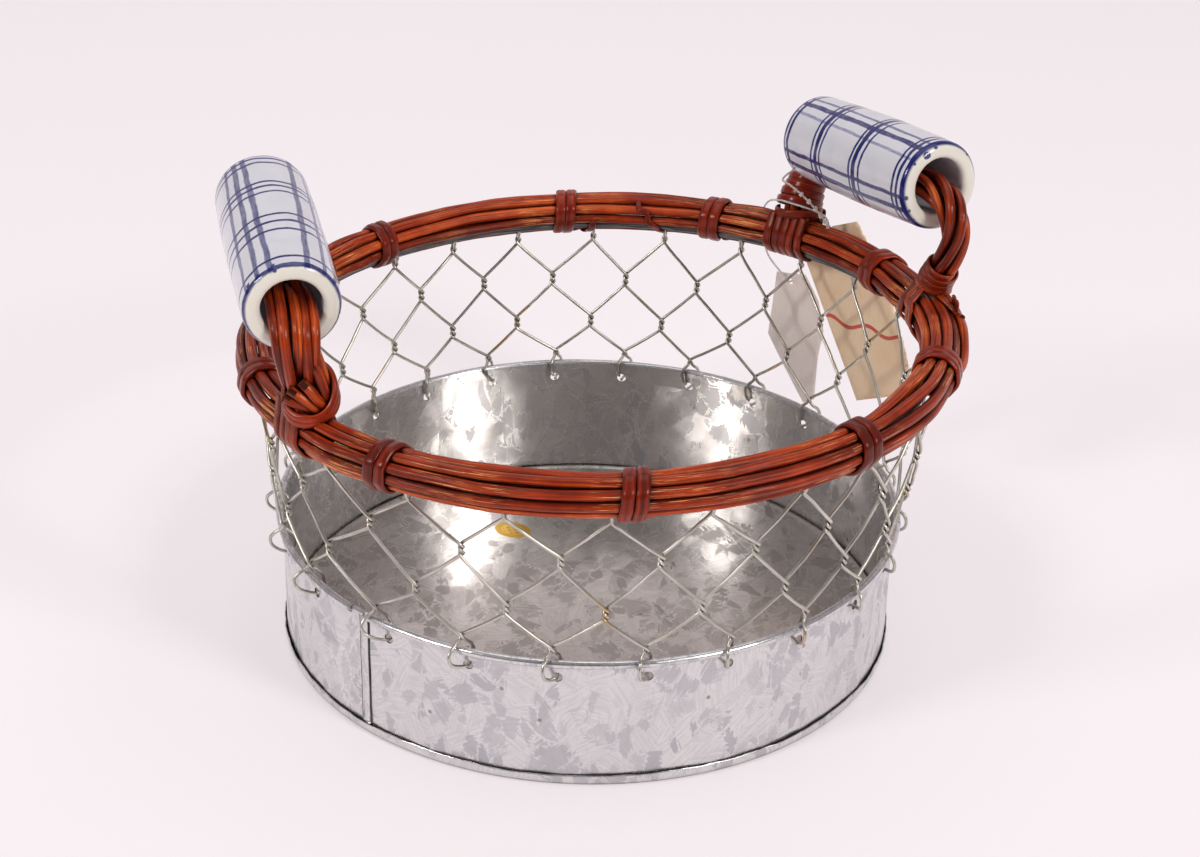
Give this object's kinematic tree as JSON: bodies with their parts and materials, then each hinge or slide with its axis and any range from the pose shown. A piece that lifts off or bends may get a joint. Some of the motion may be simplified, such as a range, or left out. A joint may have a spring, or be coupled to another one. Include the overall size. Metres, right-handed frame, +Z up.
{
  "type": "wire produce basket",
  "caption": "Round basket with a galvanised pan, twisted wire netting sides, a bound cane rim and two arched cane handles with ceramic tube grips.",
  "frame": {"origin": "centre of the pan's underside, where the basket stands", "axes": "+Z up; +X toward the right-hand handle and -Y toward the front, as the basket is seen from its front; the handles stand about 10 to 25 degrees off the X axis"},
  "size_m": [0.2978, 0.2886, 0.2008],
  "materials": {
    "galvanised_sheet": "spangled zinc, satin",
    "netting_wire": "dull bright drawn wire",
    "hoop_steel": "dull",
    "ring_cane": "semi-gloss cane",
    "lacing_cane": "semi-gloss cane",
    "tie_cane": "glossy split cane",
    "handle_cane": "semi-gloss cane",
    "binding_cane": "glossy split cane",
    "glazed_ceramic": "gloss glaze with hand-painted blue lines",
    "kraft_card": "matt",
    "white_card": "matt",
    "cotton_twine": "matt twisted cotton",
    "loop_plastic": "gloss",
    "gold_foil": "foil, semi-gloss"
  },
  "bodies": {
    "basket": {"pan_wall": "galvanised_sheet", "pan_base": "galvanised_sheet", "netting_wires": "netting_wire", "ring_cane_1": "ring_cane", "ring_cane_2": "ring_cane", "ring_cane_3": "ring_cane", "ring_cane_4": "ring_cane", "ring_cane_5": "ring_cane", "ring_cane_6": "ring_cane", "ring_cane_7": "ring_cane", "steel_hoop": "hoop_steel", "lacing_cane": "lacing_cane", "ring_ties": "tie_cane", "left_handle_cane_1": "handle_cane", "left_handle_cane_2": "handle_cane", "left_handle_cane_3": "handle_cane", "left_handle_cane_4": "handle_cane", "left_handle_cane_5": "handle_cane", "left_handle_cane_6": "handle_cane", "right_handle_cane_1": "handle_cane", "right_handle_cane_2": "handle_cane", "right_handle_cane_3": "handle_cane", "right_handle_cane_4": "handle_cane", "right_handle_cane_5": "handle_cane", "right_handle_cane_6": "handle_cane", "left_front_binding": "binding_cane", "left_front_straps": "binding_cane", "left_back_binding": "binding_cane", "left_back_straps": "binding_cane", "right_back_binding": "binding_cane", "right_back_straps": "binding_cane", "right_front_binding": "binding_cane", "right_front_straps": "binding_cane", "tag_twine": "cotton_twine", "tag_loop": "loop_plastic", "foil_sticker": "gold_foil"},
    "left_grip": {"left_grip": "glazed_ceramic"},
    "right_grip": {"right_grip": "glazed_ceramic"},
    "kraft_tag": {"kraft_tag": "kraft_card"},
    "card_tag": {"card_tag": "white_card"}
  },
  "joints": [
    {"name": "left_grip_spin", "type": "hinge", "parent": "basket", "child": "left_grip", "pos_m": [-0.1179, -0.0412, 0.1786], "axis": [0.2543, -0.9625, -0.0941], "continuous": true},
    {"name": "right_grip_spin", "type": "hinge", "parent": "basket", "child": "right_grip", "pos_m": [0.1155, 0.0668, 0.1786], "axis": [0.4747, -0.8743, 0.1011], "continuous": true},
    {"name": "kraft_tag_swing", "type": "hinge", "parent": "basket", "child": "kraft_tag", "pos_m": [0.10585, 0.10331, 0.1296], "axis": [0.7071, -0.7071, 0], "range_deg": [0, 28]},
    {"name": "card_tag_swing", "type": "hinge", "parent": "basket", "child": "card_tag", "pos_m": [0.08804, 0.12113, 0.0994], "axis": [0.7071, -0.7071, 0], "range_deg": [0, 22]}
  ]
}
